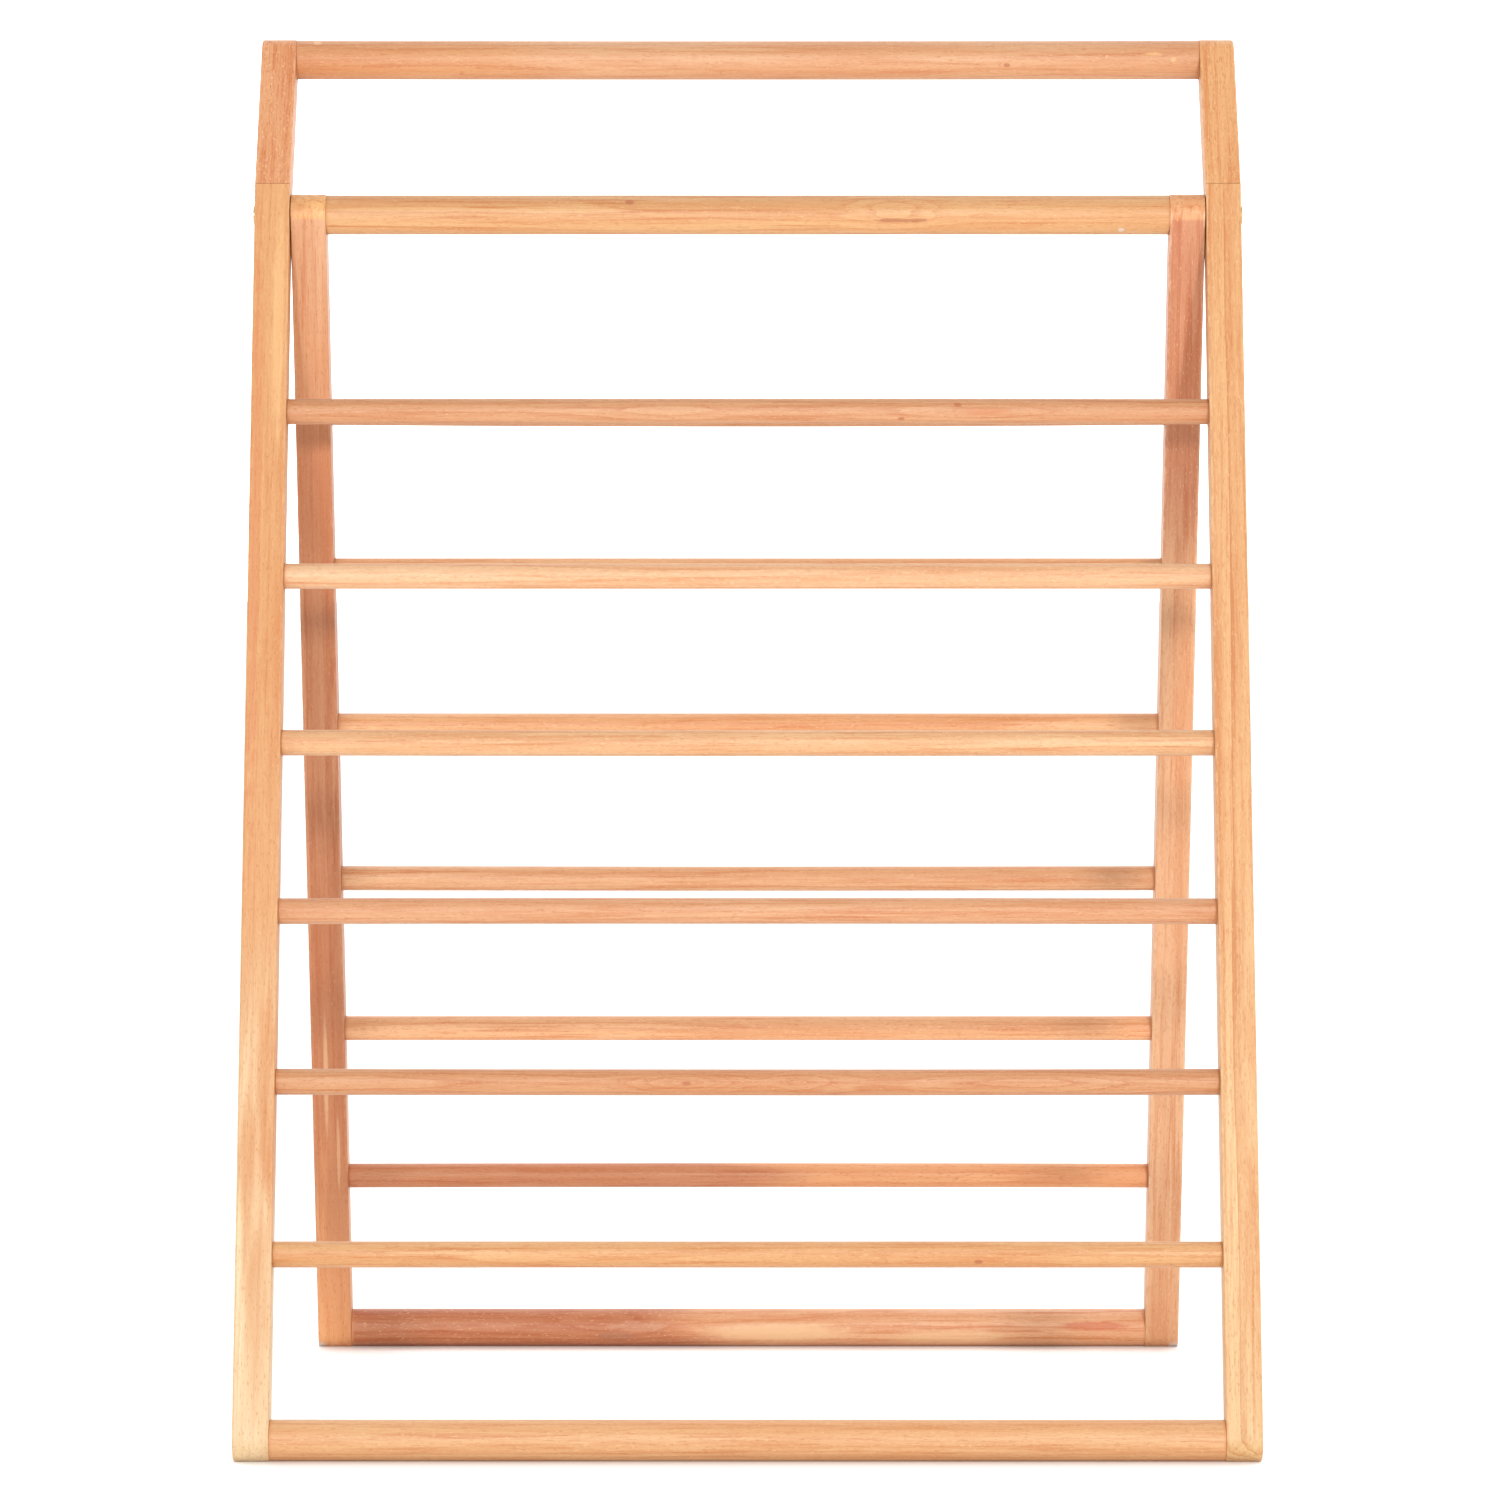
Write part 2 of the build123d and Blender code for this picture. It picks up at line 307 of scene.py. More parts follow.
def stop_groove_outline():
    """Blind arc for the stop pin in (y, z) about the pivot, centred on the way the rear stile hangs."""
    hang = math.atan2(-rear_up.z, -rear_up.y)
    half = fold_travel / 2
    points = []
    for radius, ends in ((STOP_RADIUS + STOP_GROOVE_HALF_WIDTH, (-half, half)),
                         (STOP_RADIUS - STOP_GROOVE_HALF_WIDTH, (half, -half))):
        for i in range(GROOVE_STEPS + 1):
            angle = hang + ends[0] + (ends[1] - ends[0]) * i / GROOVE_STEPS
            points.append((radius * math.cos(angle), radius * math.sin(angle)))
        turn = hang + ends[1]
        middle = (STOP_RADIUS * math.cos(turn), STOP_RADIUS * math.sin(turn))
        start = turn if radius > STOP_RADIUS else turn + math.pi
        for i in range(1, GROOVE_STEPS):
            angle = start + math.pi * i / GROOVE_STEPS
            points.append((middle[0] + STOP_GROOVE_HALF_WIDTH * math.cos(angle),
                           middle[1] + STOP_GROOVE_HALF_WIDTH * math.sin(angle)))
    return points


def bore_for_bolt(piece, name):
    """Bore a stile right through on the pivot axis."""
    low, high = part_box(name)
    ends = (low.x - CUTTER_OVERSHOOT, high.x + CUTTER_OVERSHOOT)
    carve(piece, round_cutter(BORE_RADIUS, *ends, pivot.y, pivot.z))


def build_stiles():
    """The four stiles and two arms, with the pivot bores, stop pin holes and stop grooves."""
    made = {}
    floor = (Vector((0, 0, 0)), -Z_AXIS, FLOOR_EASE)
    mitre = (front_up + arm_up).normalized()
    for side_name, side in SIDES.items():
        name = "front_stile_" + side_name
        cuts = [floor, (seam - mitre * SEAM_GAP, mitre, SEAM_EASE)]
        length = leg_length + SEAM_ABOVE_PIVOT + stile_depth
        piece = stile(name, front_foot, front_up, length, side, OUTER_EASE, cuts)
        bore_for_bolt(piece, name)
        pin_low, pin_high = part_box("stop_pin_" + side_name)
        pin = (pin_low + pin_high) / 2
        carve(piece, round_cutter((pin_high.z - pin_low.z) / 2, pin_low.x, pin_high.x, pin.y, pin.z))
        made[name] = piece

        name = "handle_arm_" + side_name
        cuts = [(seam + mitre * SEAM_GAP, -mitre, SEAM_EASE)]
        start = seam - arm_up * stile_depth
        length = (bar_axis - start).length
        made[name] = stile(name, start, arm_up, length, side, OUTER_EASE, cuts)

        name = "rear_stile_" + side_name
        piece = stile(name, rear_foot, rear_up, leg_length, side, INNER_EASE, [floor])
        bore_for_bolt(piece, name)
        low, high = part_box(name)
        outer = high.x if side > 0 else low.x
        ends = sorted((outer - side * STOP_GROOVE_DEPTH, outer + side * STOP_GROOVE_DEPTH))
        carve(piece, prism(stop_groove_outline(), *ends))
        made[name] = piece
    return made


# ---------------------------------------------------------------- rungs and rails

def bar_profile(half, radius, buried_radius, shoulder):
    """Radius along one half of a bar from its middle to its end, as (z, radius)."""
    rows = round(half / BAR_STEP)
    profile = [(half * i / rows, radius) for i in range(rows)]
    profile += [(half - shoulder * (1 - math.sin(a)), radius - shoulder * (1 - math.cos(a)))
                for a in SHOULDER_TURNS]
    profile += [(half, buried_radius), (half + BURIED, buried_radius)]
    return profile


def bar_mesh(half, radius, buried_radius, shoulder, bow, seed):
    """A turned bar along Z, a little bowed, with faint flats left by the turning and sanding."""
    right = bar_profile(half, radius, buried_radius, shoulder)
    profile = [(-z, r) for z, r in right[:0:-1]] + right
    bm = bmesh.new()
    rings = []
    for z, r in profile:
        arch = 1 - (z / half) ** 2
        ring = []
        for k in range(BAR_SIDES):
            turn = 2 * math.pi * k / BAR_SIDES
            spot = Vector((math.cos(turn) * TURNING_ROUND,
                           math.sin(turn) * TURNING_ROUND + seed * BAR_SEED_STEP,
                           z * TURNING_ALONG))
            worked = r + TURNING_WAVE * noise.noise(spot) * (r > buried_radius)
            ring.append(bm.verts.new((bow[0] * arch + worked * math.cos(turn),
                                      bow[1] * arch + worked * math.sin(turn), z)))
        rings.append(ring)
    for here, there in zip(rings, rings[1:]):
        for k in range(BAR_SIDES):
            j = (k + 1) % BAR_SIDES
            bm.faces.new((here[k], here[j], there[j], there[k]))
    bm.faces.new(rings[0])
    bm.faces.new(rings[-1])
    return bm


def bar(name, inner, radius, buried_radius, shoulder, bow, seed):
    """Build and place a rung or rail, which stands for the CAD node of the same name."""
    middle = centre(name)
    bm = bar_mesh(inner, radius, buried_radius, shoulder, bow, seed)
    placement = axes(Vector((0, middle.y, middle.z)), X_AXIS, Z_AXIS)
    piece = finish_mesh(name + "_wood", bm, placement)
    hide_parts(name)
    return piece


RAILS = ("handle_bar", "front_bottom_rail", "rear_top_rail", "rear_bottom_rail")
RUNG_COUNT = sum(name.startswith("front_rung_") for name in frame["nodes"])
RUNGS = [f"{frame_name}_rung_{number}" for frame_name in ("front", "rear")
         for number in range(1, RUNG_COUNT + 1)]

# How far each bar has warped at its middle, in mm: upwards and towards the front
BOWS = {"front_rung_6": (0.4, 0.2), "rear_rung_6": (-1.2, 0.0), "front_rung_2": (-0.4, 0.1),
        "front_rung_3": (0.3, 0.0), "rear_rung_3": (-0.4, 0.2), "rear_rung_1": (0.4, 0.0),
        "front_rung_4": (-0.3, 0.2), "handle_bar": (-0.2, 0.0)}


def inner_face(bar_name):
    """X of the inner faces of the stiles or arms that a rung or rail runs between."""
    stiles = "rear_stile_right" if bar_name.startswith("rear") else "front_stile_right"
    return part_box(stiles)[0].x


def build_bars():
    """All rungs and rails between the inner faces of their stiles."""
    made = {}
    for seed, name in enumerate((*RAILS, *RUNGS)):
        bow = tuple(MM * value for value in BOWS.get(name, (0.0, 0.0)))
        if name in RAILS:
            section = (RAIL_RADIUS, TENON_RADIUS, RAIL_SHOULDER)
        else:
            section = (RUNG_RADIUS, RUNG_RADIUS - RUNG_SHOULDER, RUNG_SHOULDER)
        made[name] = bar(name, inner_face(name), *section, bow, seed)
    return made


# ---------------------------------------------------------------- pivot bolts

def lathe(profile):
    """Surface of revolution about local Z from (z, radius) points; radius 0 closes an end."""
    bm = bmesh.new()
    turns = [2 * math.pi * k / BOLT_SIDES for k in range(BOLT_SIDES)]
    rings = []
    for z, radius in profile:
        if radius == 0:
            rings.append([bm.verts.new((0, 0, z))])
        else:
            rings.append([bm.verts.new((radius * math.cos(a), radius * math.sin(a), z)) for a in turns])
    for here, there in zip(rings, rings[1:]):
        for k in range(BOLT_SIDES):
            j = (k + 1) % BOLT_SIDES
            low_pair = [here[k % len(here)], here[j % len(here)]]
            high_pair = [there[j % len(there)], there[k % len(there)]]
            bm.faces.new(list(dict.fromkeys(low_pair + high_pair)))
    return bm


def bolt_profile(length, height, head_radius):
    """(z, radius) points of a bolt from its tip to the middle of its head; z = 0 under the head."""
    corner = [math.pi / 2 * i / EASE_STEPS for i in range(EASE_STEPS + 1)]
    rim = height - HEAD_EASE - DOME_RISE
    shoulder_share, shoulder_drop = DOME_SHOULDER
    profile = [(-length, 0), (-length, TIP_RADIUS), (TIP_CHAMFER - length, SHANK_RADIUS)]
    profile += [(-NECK_LENGTH, SHANK_RADIUS), (0, NECK_RADIUS)]
    profile += [(0, head_radius - HEAD_FOOT_EASE), (HEAD_FOOT_EASE, head_radius)]
    profile += [(rim + HEAD_EASE * math.sin(a), head_radius - HEAD_EASE * (1 - math.cos(a)))
                for a in corner]
    profile += [(height - shoulder_drop, head_radius * shoulder_share), (height, 0)]
    return profile


def build_bolts():
    """Pivot bolts with a low domed, slotted head; the shank runs into the rear frame."""
    made = {}
    for side_name, side in SIDES.items():
        name = "pivot_bolt_" + side_name
        low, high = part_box(name)
        head_radius = (high.z - low.z) / 2
        outer = high.x if side > 0 else low.x
        tip = low.x if side > 0 else high.x
        seat = abs(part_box("front_stile_" + side_name)[1 if side > 0 else 0].x) + HEAD_GAP
        height = abs(outer) - seat
        length = abs(outer - tip) - height
        placement = axes(Vector((side * seat, pivot.y, pivot.z)), X_AXIS * side, Vector((0, 1, 0)))
        piece = finish_mesh(name + "_metal", lathe(bolt_profile(length, height, head_radius)), placement)
        blade = bmesh.new()
        bmesh.ops.create_cube(blade, size=1.0)
        size = Vector((4 * head_radius, SLOT_WIDTH, 2 * SLOT_DEPTH))
        bmesh.ops.scale(blade, vec=size, verts=blade.verts)
        turn = Matrix.Rotation(math.radians(SLOT_ANGLES[side_name]), 4, "Z")
        carve(piece, finish_mesh("cutter", blade, placement @ Matrix.Translation((0, 0, height)) @ turn))
        ease = piece.modifiers.new("eased_slot", "BEVEL")
        ease.width = SLOT_EASE
        ease.segments = 2
        ease.limit_method = "ANGLE"
        ease.angle_limit = SLOT_EASE_ANGLE
        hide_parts(name)
        made[name] = piece
    return made


# ---------------------------------------------------------------- material nodes

def linear(rgb, gain=(1.0, 1.0, 1.0)):
    """The surface colour that shows as this sRGB tone, 0 to 255, in the studio light."""
    def channel(value):
        value /= 255
        return value / 12.92 if value <= 0.04045 else ((value + 0.055) / 1.055) ** 2.4
    return (*[share * g * channel(value) for share, g, value in zip(TONE_TO_SURFACE, gain, rgb)], 1.0)


class Shader:
    """A material's node tree, with short calls for the nodes that the wood and metal use."""

    def __init__(self, name):
        self.material = bpy.data.materials.new(name)
        self.material.use_nodes = True
        self.tree = self.material.node_tree
        self.tree.nodes.clear()
        surface = self.tree.nodes.new("ShaderNodeOutputMaterial").inputs[0]
        self.bsdf = self.tree.nodes.new("ShaderNodeBsdfPrincipled")
        self.tree.links.new(self.bsdf.outputs[0], surface)
        self.local = self.tree.nodes.new("ShaderNodeTexCoord").outputs["Object"]

    def feed(self, socket, value):
        """Link a socket to a node's output, or set it to a constant."""
        if isinstance(value, bpy.types.NodeSocket):
            self.tree.links.new(value, socket)
        else:
            socket.default_value = value

    def math(self, operation, a, b=None, c=None):
        node = self.tree.nodes.new("ShaderNodeMath")
        node.operation = operation
        for socket, value in zip(node.inputs, (a, b, c)):
            if value is not None:
                self.feed(socket, value)
        return node.outputs[0]

    def vector(self, operation, a, b=None, scale=None):
        node = self.tree.nodes.new("ShaderNodeVectorMath")
        node.operation = operation
        self.feed(node.inputs[0], a)
        if b is not None:
            self.feed(node.inputs[1], b)
        if scale is not None:
            self.feed(node.inputs["Scale"], scale)
        return node.outputs["Value" if operation == "LENGTH" else "Vector"]

    def noise(self, vector, detail=2.0, roughness=0.5, colour=False):
        node = self.tree.nodes.new("ShaderNodeTexNoise")
        self.feed(node.inputs["Vector"], vector)
        node.inputs["Scale"].default_value = 1.0
        node.inputs["Detail"].default_value = detail
        node.inputs["Roughness"].default_value = roughness
        return node.outputs["Color" if colour else "Fac"]

    def spread(self, value, low, high, to_low=0.0, to_high=1.0):
        """Smooth step from one level to the other between low and high."""
        node = self.tree.nodes.new("ShaderNodeMapRange")
        node.interpolation_type = "SMOOTHSTEP"
        for socket, number in zip(node.inputs, (value, low, high, to_low, to_high)):
            self.feed(socket, number)
        return node.outputs[0]

    def ramp(self, value, stops):
        """Grey levels at the given places between 0 and 1."""
        node = self.tree.nodes.new("ShaderNodeValToRGB")
        self.feed(node.inputs[0], value)
        elements = node.color_ramp.elements
        while len(elements) < len(stops):
            elements.new(0.5)
        for element, (place, grey) in zip(elements, stops):
            element.position = place
            element.color = (grey, grey, grey, 1)
        return node.outputs[0]

    def mix(self, share, a, b, blend="MIX"):
        """Blend two colours, through the colour sockets of a Mix node."""
        node = self.tree.nodes.new("ShaderNodeMix")
        node.data_type = "RGBA"
        node.blend_type = blend
        self.feed(node.inputs[0], share)
        self.feed(node.inputs[6], a)
        self.feed(node.inputs[7], b)
        return node.outputs[2]

    def bump(self, height, strength, distance):
        node = self.tree.nodes.new("ShaderNodeBump")
        self.feed(node.inputs["Height"], height)
        node.inputs["Strength"].default_value = strength
        node.inputs["Distance"].default_value = distance
        self.tree.links.new(node.outputs[0], self.bsdf.inputs["Normal"])

    def away_from(self, place, reach, raggedness=0.0, uneven=None):
        """Distance from a place in the piece's frame, as a share of a reach along each axis, both in mm."""
        away = self.vector("SUBTRACT", self.local, [MM * value for value in place])
        away = self.vector("DIVIDE", away, [MM * value for value in reach])
        distance = self.vector("LENGTH", away)
        if raggedness:
            offset = self.math("MULTIPLY", self.math("SUBTRACT", uneven, 0.5), raggedness)
            distance = self.math("ADD", distance, offset)
        return distance

    def place_along(self, axis):
        """How far along one of the piece's own axes a point lies, in metres."""
        parts = self.tree.nodes.new("ShaderNodeSeparateXYZ")
        self.feed(parts.inputs[0], self.local)
        return parts.outputs[axis]


# ---------------------------------------------------------------- teak

# How the parts of the figure differ from a board's average tone
PALE_GAIN = (1.06, 1.12, 1.16)
DEEP_GAIN = (0.82, 0.56, 0.39)
RED_GAIN = (0.92, 0.72, 0.57)
PORE_GAIN = (0.70, 0.43, 0.28)
FLECK_AND_HIGHLIGHT_GAIN = (1.16, 1.40, 1.65)
SCUFF = (226, 220, 218)
KNOT = (186, 106, 68)
SAP = (250, 206, 162)
CHIP = (255, 202, 140)

# Noises of the figure: scale along each local axis, detail, roughness, and the values that become 0 and 1
GRAIN = {"streak": ((380, 380, 11), 4.0, 0.62, 0.47, 0.68),
         "fibre": ((900, 900, 70), 3.0, 0.60, 0.46, 0.70),
         "pore": ((1150, 1150, 230), 1.0, 0.50, 0.58, 0.72),
         "fleck": ((1050, 1050, 280), 1.0, 0.50, 0.38, 0.28),
         "broad": ((34, 34, 4), 3.0, 0.55, 0.40, 0.64)}
RAGGED_SCALE = (240, 240, 90)
DRIFT_SCALE = (30, 30, 5)
SEED_SHIFT = (0.731, 0.417, 1.913)        # each board reads the noises this far from the last one

# How strongly each part of the figure shows
FIBRE_SHARE = 0.5
RED_SHARE = 0.7
PORE_SHARE = 0.75
FLECK_SHARE = 0.8
MARK_SHARE = 0.75
MARK_CORE = 0.45               # share of a mark's reach within which it is at full strength
FADE_WANDER = 0.7              # how streaky a fade's boundary is, as a share of its length

# A year's ring, from its pale start to the dark line that ends it: place and grey level
RING_STOPS = ((0.0, 0.1), (0.45, 0.2), (0.8, 0.65), (0.92, 1.0), (1.0, 0.1))
RING_NOISE_SCALE = (160, 160, 3)
RING_UNEVENNESS = 1.6          # in rings

# Surface
OIL_COAT = 0.12
OIL_COAT_ROUGHNESS = 0.35
WOOD_ROUGHNESS = 0.5
WOOD_SPECULAR = 0.4
FIBRE_ROUGHNESS = 0.08
PORE_ROUGHNESS = 0.14
BROAD_ROUGHNESS = 0.06
GRAIN_RELIEF = 0.12 * MM
RELIEF_STRENGTH = 0.3
FIBRE_RELIEF = 0.35            # against the depth of the pores
RING_RELIEF = 0.25

# Worn edges with a painted highlight, and painted shade at the joints: how far from the edge or end they start and
# are at full strength
EDGE_WEAR_HIGHLIGHT_START = 2.2 * MM
EDGE_WEAR_HIGHLIGHT_FULL = 0.5 * MM
EDGE_WEAR_HIGHLIGHT_SHARES = (0.1, 0.55)    # least and most, by patches
EDGE_WEAR_HIGHLIGHT_PATCHES = (0.42, 0.62)
JOINT_START = 2.6 * MM
JOINT_FULL = 0.6 * MM
PAINTED_JOINT_SHADE = 0.7


def teak(name, seed, base, pith, tilt=(0.0, 0.0), spacing=4.0, contrast=0.5, wander=4.0, streaks=0.5,
         speckle=0.5, eyes=(), marks=(), edges=None, fades=(), blotch=0.5, half_length=None):
    """Oiled teak as a solid: rings about a pith line, fibre streaks, pores, and marks of its own.

    base is the board's average tone. pith is where the heart of the tree lies from the piece's axis and
    tilt how it slants, in mm and mm per metre; spacing is the ring width in mm and wander how far the
    figure drifts. eyes are (place, reach, lift) in mm where a branch pushes the rings out. marks are
    (place, reach, tone, strength, raggedness), and fades are (start, end, tone) in metres along the
    piece. edges is the section of a piece whose eased edges are paler in patches, partly wear and partly
    a painted highlight; half_length darkens a bar with painted shade where it enters its stiles."""
    s = Shader("teak_" + name)
    shifted = s.vector("ADD", s.local, [seed * step for step in SEED_SHIFT])
    slow = s.noise(s.vector("MULTIPLY", shifted, DRIFT_SCALE), colour=True)
    drift = s.vector("SCALE", s.vector("SUBTRACT", slow, (0.5, 0.5, 0.5)), scale=wander * MM)
    rings = ring_figure(s, s.vector("ADD", s.local, drift), shifted, pith, tilt, spacing, eyes)
    grain = {}
    for kind, (scale, detail, roughness, low, high) in GRAIN.items():
        grain[kind] = s.spread(s.noise(s.vector("MULTIPLY", shifted, scale), detail, roughness), low, high)
    ragged = s.noise(s.vector("MULTIPLY", shifted, RAGGED_SCALE), 3.0, 0.65)

    figure = s.math("MULTIPLY", rings, contrast)
    figure = s.math("ADD", figure, s.math("MULTIPLY", grain["streak"], streaks))
    figure = s.math("ADD", figure, s.math("MULTIPLY", grain["fibre"], FIBRE_SHARE * speckle))
    colour = s.mix(s.math("MINIMUM", figure, 1.0), linear(base, PALE_GAIN), linear(base, DEEP_GAIN))
    red = s.mix(RED_SHARE, colour, linear(base, RED_GAIN))
    colour = s.mix(s.math("MULTIPLY", grain["broad"], blotch), colour, red)
    figured = colour
    for start, end, tone in fades:
        gain = [there / here for there, here in zip(linear(tone), linear(base))]
        faded = s.mix(1.0, figured, gain, "MULTIPLY")
        colour = s.mix(share_along(s, start, end, grain["broad"]), colour, faded)
    pores = s.math("MULTIPLY", grain["pore"], PORE_SHARE * speckle)
    colour = s.mix(pores, colour, linear(base, PORE_GAIN))
    flecks = s.math("MULTIPLY", grain["fleck"], FLECK_SHARE * speckle)
    colour = s.mix(flecks, colour, linear(base, FLECK_AND_HIGHLIGHT_GAIN))
    for place, reach, tone, strength, raggedness in marks:
        away = s.away_from(place, reach, raggedness, ragged)
        marked = s.mix(MARK_SHARE, colour, linear(tone))
        colour = s.mix(s.spread(away, MARK_CORE, 1.0, strength, 0.0), colour, marked)
    # Paler eased edges in patches: partly wear, partly a painted highlight.
    if edges:
        colour = s.mix(edge_wear_and_highlight(s, edges, ragged), colour, linear(base, FLECK_AND_HIGHLIGHT_GAIN))
    # Painted shade: the bar is darker and redder where it enters its stiles.
    if half_length:
        colour = s.mix(painted_joint_shade(s, half_length), colour, linear(base, RED_GAIN))
    s.feed(s.bsdf.inputs["Base Color"], colour)

    rough = s.math("MULTIPLY_ADD", grain["broad"], BROAD_ROUGHNESS, WOOD_ROUGHNESS)
    rough = s.math("ADD", rough, s.math("MULTIPLY", grain["fibre"], FIBRE_ROUGHNESS))
    rough = s.math("ADD", rough, s.math("MULTIPLY", grain["pore"], PORE_ROUGHNESS))
    s.feed(s.bsdf.inputs["Roughness"], rough)
    s.bsdf.inputs["Specular IOR Level"].default_value = WOOD_SPECULAR
    s.bsdf.inputs["Coat Weight"].default_value = OIL_COAT
    s.bsdf.inputs["Coat Roughness"].default_value = OIL_COAT_ROUGHNESS
    height = s.math("SUBTRACT", s.math("MULTIPLY", grain["fibre"], FIBRE_RELIEF), grain["pore"])
    height = s.math("ADD", height, s.math("MULTIPLY", rings, RING_RELIEF))
    s.bump(height, RELIEF_STRENGTH, GRAIN_RELIEF)
    return s.material


def ring_figure(s, bent, shifted, pith, tilt, spacing, eyes):
    """Growth rings, 0 in the pale early wood and 1 at the dark line that ends each year."""
    split = s.tree.nodes.new("ShaderNodeSeparateXYZ")
    s.feed(split.inputs[0], bent)
    squares = []
    for axis in (0, 1):
        slant = s.math("MULTIPLY", split.outputs[2], tilt[axis] * MM)
        across = s.math("SUBTRACT", s.math("SUBTRACT", split.outputs[axis], pith[axis] * MM), slant)
        squares.append(s.math("MULTIPLY", across, across))
    radius = s.math("SQRT", s.math("ADD", *squares))
    for place, reach, lift in eyes:
        away = s.away_from(place, reach)
        hill = s.math("EXPONENT", s.math("MULTIPLY", s.math("MULTIPLY", away, away), -1.0))
        radius = s.math("ADD", radius, s.math("MULTIPLY", hill, lift * MM))
    phase = s.math("DIVIDE", radius, spacing * MM)
    uneven = s.noise(s.vector("MULTIPLY", shifted, RING_NOISE_SCALE), 1.0)
    phase = s.math("ADD", phase, s.math("MULTIPLY", uneven, RING_UNEVENNESS))
    return s.ramp(s.math("FRACT", phase), RING_STOPS)


def share_along(s, start, end, uneven):
    """0 before start and 1 past end, in metres along the piece, with a streaky boundary."""
    wander = FADE_WANDER * abs(end - start)
    place = s.math("ADD", s.place_along(2), s.math("MULTIPLY_ADD", uneven, wander, -wander / 2))
    return s.spread(place, start, end)


def edge_wear_and_highlight(s, section, ragged):
    """Where a stile's corners are eased, paler in patches: partly oil worn off, partly a painted highlight along
    the edge.
    """
    shares = []
    for axis, full in enumerate(section):
        reach = s.math("ABSOLUTE", s.place_along(axis))
        shares.append(s.spread(reach, full / 2 - EDGE_WEAR_HIGHLIGHT_START, full / 2 - EDGE_WEAR_HIGHLIGHT_FULL))
    worn_and_lit = s.math("MULTIPLY", shares[0], shares[1])
    return s.math("MULTIPLY", worn_and_lit, s.spread(ragged, *EDGE_WEAR_HIGHLIGHT_PATCHES, *EDGE_WEAR_HIGHLIGHT_SHARES))


def painted_joint_shade(s, half_length):
    """Painted shade where a bar enters its stiles: darker and redder towards each end."""
    reach = s.math("ABSOLUTE", s.place_along(2))
    return s.spread(reach, half_length - JOINT_START, half_length - JOINT_FULL, 0.0, PAINTED_JOINT_SHADE)


def stile_woods():
    """The boards of the stiles and arms, each with the figure it shows."""
    width = span_x("front_stile_left")
    section = (width, stile_depth)
    half_width = width / 2 / MM
    half_depth = stile_depth / 2 / MM
    foot_front = 4 - half_depth
    crown = (leg_length - 1 * MM, leg_length + 2 * MM)
    crown_top = leg_length / MM + half_depth
    scuff_reach = (5, 9, 8)
    return {
        "front_stile_left": teak(
            "front_stile_left", 1, (222, 160, 106), pith=(-70, -30), tilt=(30, 10), spacing=9.0,
            contrast=0.3, wander=8, streaks=0.3, edges=section, blotch=0.9,
            fades=((0.30, 0.06, (242, 211, 170)),),
            marks=(((-8, -half_depth, 640), (5, 8, 280), (216, 122, 76), 0.5, 1.8),
                   ((6, -half_depth, 790), (6, 10, 110), (255, 208, 148), 0.5, 0.8))),
        "front_stile_right": teak(
            "front_stile_right", 2, (228, 172, 119), pith=(90, -260), tilt=(4, 0), spacing=4.6,
            contrast=1.0, wander=2.5, streaks=0.4, edges=section, blotch=0.5,
            fades=((0.34, 0.03, (238, 198, 147)),)),
        "handle_arm_left": teak(
            "handle_arm_left", 3, (232, 165, 118), pith=(10, 300), tilt=(20, 0), spacing=12,
            contrast=0.4, wander=6, speckle=1.0, edges=section),
        "handle_arm_right": teak(
            "handle_arm_right", 4, (235, 173, 118), pith=(-60, 40), tilt=(60, 0), spacing=14,
            contrast=0.45, wander=6, speckle=0.7, edges=section),
        # Partly the board's browner wood and partly painted shadow: the dark base tone is the middle of the stile,
        # where the front stile's shadow falls, and the fades paint the foot, the stretch above 0.70 m and the
        # crown lighter.
        "rear_stile_left": teak(
            "rear_stile_left", 5, (204, 138, 98), pith=(50, 40), tilt=(-40, 20), spacing=11,
            contrast=0.6, wander=9, edges=section, blotch=0.9,
            fades=((0.25, 0.02, (248, 186, 134)),
                   (0.70, 0.78, (226, 170, 130)),
                   (*crown, (240, 182, 122))),
            marks=(((2 - half_width, foot_front, 2 - half_depth), scuff_reach, SCUFF, 0.9, 0.9),
                   ((-7, -8, crown_top - 6), (11, 12, 7), (206, 132, 84), 0.5, 0.5),
                   ((-2, -half_depth, 215), (2.2, 3, 60), SAP, 0.6, 0.6),
                   ((6, -half_depth, 150), (1.6, 3, 40), SAP, 0.5, 0.6))),
        "rear_stile_right": teak(
            "rear_stile_right", 6, (230, 175, 134), pith=(-50, 60), tilt=(50, 20), spacing=9,
            contrast=0.6, wander=8, edges=section, blotch=0.7,
            # Painted shadow: the first fade darkens the stile from about 0.6 m up, where the front stile's shadow
            # falls.
            fades=((0.56, 0.66, (212, 145, 109)),
                   (*crown, (232, 170, 120))),
            marks=(((half_width - 3, foot_front, 2 - half_depth), scuff_reach, SCUFF, 0.9, 0.9),)),
    }


def bar_teak(name, seed, base, **facts):
    """Teak for a rung or rail, with painted shade where it meets its stiles."""
    return teak(name, seed, base, half_length=inner_face(name), **facts)


